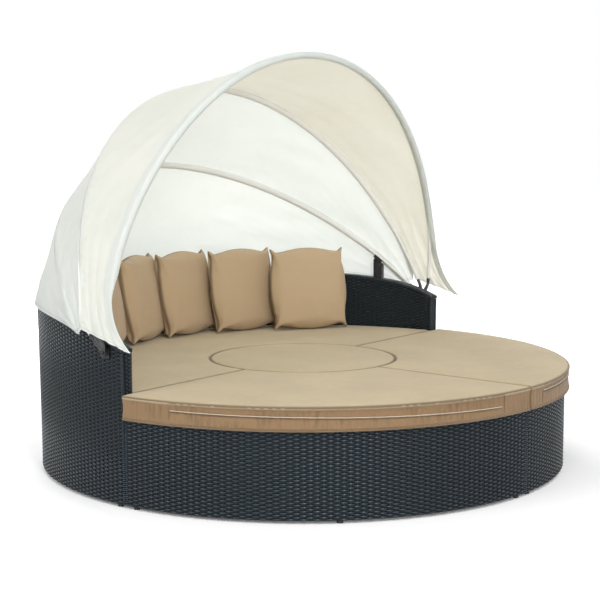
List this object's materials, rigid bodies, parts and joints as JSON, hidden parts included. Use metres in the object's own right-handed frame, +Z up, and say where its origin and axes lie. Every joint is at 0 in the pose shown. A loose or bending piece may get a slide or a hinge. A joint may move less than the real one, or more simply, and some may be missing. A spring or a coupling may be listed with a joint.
{
  "type": "outdoor daybed with canopy",
  "caption": "Round outdoor daybed in sections: woven half-round sofa, front ottomans and a round one, with cushions, throw pillows and a fold-back cloth canopy on hinged bows.",
  "frame": {"origin": "on the floor, at the middle of the round plan and of the bounding box", "axes": "+Z up, +Y towards the backrest, +X along the sofa's straight seam towards the right arm as seen from the front"},
  "size_m": [2.321, 2.2375, 1.704],
  "materials": {
    "dark_weave": "satin",
    "black_steel": "satin",
    "glide_plastic": "matte",
    "pad_rubber": "matte",
    "cushion_cloth": "matte",
    "pillow_cloth": "matte",
    "canopy_cloth": "matte",
    "bow_tube": "satin"
  },
  "bodies": {
    "sofa": {"sofa_outer_weave": "dark_weave", "sofa_inner_weave": "dark_weave", "sofa_rim_braid": "dark_weave", "sofa_arm_end_right": "dark_weave", "sofa_arm_end_left": "dark_weave", "sofa_front_weave": "dark_weave", "sofa_seat_deck": "dark_weave", "sofa_frame": "black_steel", "sofa_foot_1": "glide_plastic", "sofa_foot_2": "glide_plastic", "sofa_foot_3": "glide_plastic", "sofa_foot_4": "glide_plastic", "sofa_foot_5": "glide_plastic", "pivot_bracket_right": "black_steel", "pivot_bracket_left": "black_steel", "pivot_bolt_right": "black_steel", "pivot_bolt_left": "black_steel", "rest_post_right": "black_steel", "rest_post_left": "black_steel", "rest_pad_right": "pad_rubber", "rest_pad_left": "pad_rubber"},
    "rear_bow": {"canopy_bow_rear": "bow_tube", "canopy_panel_rear": "canopy_cloth"},
    "middle_bow": {"canopy_bow_middle": "bow_tube", "canopy_panel_middle": "canopy_cloth"},
    "front_bow": {"canopy_bow_front": "bow_tube", "canopy_panel_front": "canopy_cloth"},
    "ottoman_left": {"ottoman_left_weave": "dark_weave", "ottoman_left_deck": "dark_weave", "ottoman_left_frame": "black_steel", "ottoman_left_foot_1": "glide_plastic", "ottoman_left_foot_2": "glide_plastic", "ottoman_left_foot_3": "glide_plastic", "ottoman_left_foot_4": "glide_plastic"},
    "ottoman_right": {"ottoman_right_weave": "dark_weave", "ottoman_right_deck": "dark_weave", "ottoman_right_frame": "black_steel", "ottoman_right_foot_1": "glide_plastic", "ottoman_right_foot_2": "glide_plastic", "ottoman_right_foot_3": "glide_plastic", "ottoman_right_foot_4": "glide_plastic"},
    "round_ottoman": {"round_ottoman_weave": "dark_weave", "round_ottoman_deck": "dark_weave", "round_ottoman_frame": "black_steel", "round_ottoman_foot_1": "glide_plastic", "round_ottoman_foot_2": "glide_plastic", "round_ottoman_foot_3": "glide_plastic", "round_ottoman_foot_4": "glide_plastic"},
    "sofa_cushion": {"sofa_cushion": "cushion_cloth"},
    "ottoman_left_cushion": {"ottoman_left_cushion": "cushion_cloth"},
    "ottoman_right_cushion": {"ottoman_right_cushion": "cushion_cloth"},
    "round_ottoman_cushion": {"round_ottoman_cushion": "cushion_cloth"},
    "throw_pillow_1": {"throw_pillow_1": "pillow_cloth"},
    "throw_pillow_2": {"throw_pillow_2": "pillow_cloth"},
    "throw_pillow_3": {"throw_pillow_3": "pillow_cloth"},
    "throw_pillow_4": {"throw_pillow_4": "pillow_cloth"},
    "throw_pillow_5": {"throw_pillow_5": "pillow_cloth"}
  },
  "joints": [
    {"name": "rear_bow_pivot", "type": "hinge", "parent": "sofa", "child": "rear_bow", "pos_m": [0, 0.084, 0.573], "axis": [1, 0, 0], "range_deg": [0, 30], "deforming": ["canopy_panel_rear"]},
    {"name": "middle_bow_pivot", "type": "hinge", "parent": "rear_bow", "child": "middle_bow", "pos_m": [0, 0.084, 0.573], "axis": [1, 0, 0], "range_deg": [-21, 0], "deforming": ["canopy_panel_middle"]},
    {"name": "front_bow_pivot", "type": "hinge", "parent": "middle_bow", "child": "front_bow", "pos_m": [0, 0.084, 0.573], "axis": [1, 0, 0], "range_deg": [-25.2, 0], "deforming": ["canopy_panel_front"]},
    {"name": "ottoman_left_slide", "type": "slide", "parent": "sofa", "child": "ottoman_left", "axis": [-0.7272, -0.6865, 0], "range_m": [0, 0.6]},
    {"name": "ottoman_right_slide", "type": "slide", "parent": "sofa", "child": "ottoman_right", "axis": [0.6865, -0.7272, 0], "range_m": [0, 0.6]},
    {"name": "round_ottoman_lift", "type": "slide", "parent": "sofa", "child": "round_ottoman", "axis": [0, 0, 1], "range_m": [0, 0.45]},
    {"name": "sofa_cushion_lift", "type": "slide", "parent": "sofa", "child": "sofa_cushion", "axis": [0, 0, 1], "range_m": [0, 0.15]},
    {"name": "ottoman_left_cushion_lift", "type": "slide", "parent": "ottoman_left", "child": "ottoman_left_cushion", "axis": [0, 0, 1], "range_m": [0, 0.25]},
    {"name": "ottoman_right_cushion_lift", "type": "slide", "parent": "ottoman_right", "child": "ottoman_right_cushion", "axis": [0, 0, 1], "range_m": [0, 0.25]},
    {"name": "round_ottoman_cushion_lift", "type": "slide", "parent": "round_ottoman", "child": "round_ottoman_cushion", "axis": [0, 0, 1], "range_m": [0, 0.25]},
    {"name": "throw_pillow_1_lift", "type": "slide", "parent": "sofa_cushion", "child": "throw_pillow_1", "axis": [0.0907, 0.1481, 0.9848], "range_m": [0, 0.12]},
    {"name": "throw_pillow_2_lift", "type": "slide", "parent": "sofa_cushion", "child": "throw_pillow_2", "axis": [0.0302, 0.171, 0.9848], "range_m": [0, 0.12]},
    {"name": "throw_pillow_3_lift", "type": "slide", "parent": "sofa_cushion", "child": "throw_pillow_3", "axis": [-0.0199, 0.1898, 0.9816], "range_m": [0, 0.12]},
    {"name": "throw_pillow_4_lift", "type": "slide", "parent": "sofa_cushion", "child": "throw_pillow_4", "axis": [-0.0684, 0.1781, 0.9816], "range_m": [0, 0.12]},
    {"name": "throw_pillow_5_lift", "type": "slide", "parent": "sofa_cushion", "child": "throw_pillow_5", "axis": [-0.0996, 0.1422, 0.9848], "range_m": [0, 0.12]}
  ],
  "couplings": [
    {"joint": "front_bow_pivot", "follows": "middle_bow_pivot", "ratio": 1.2}
  ]
}
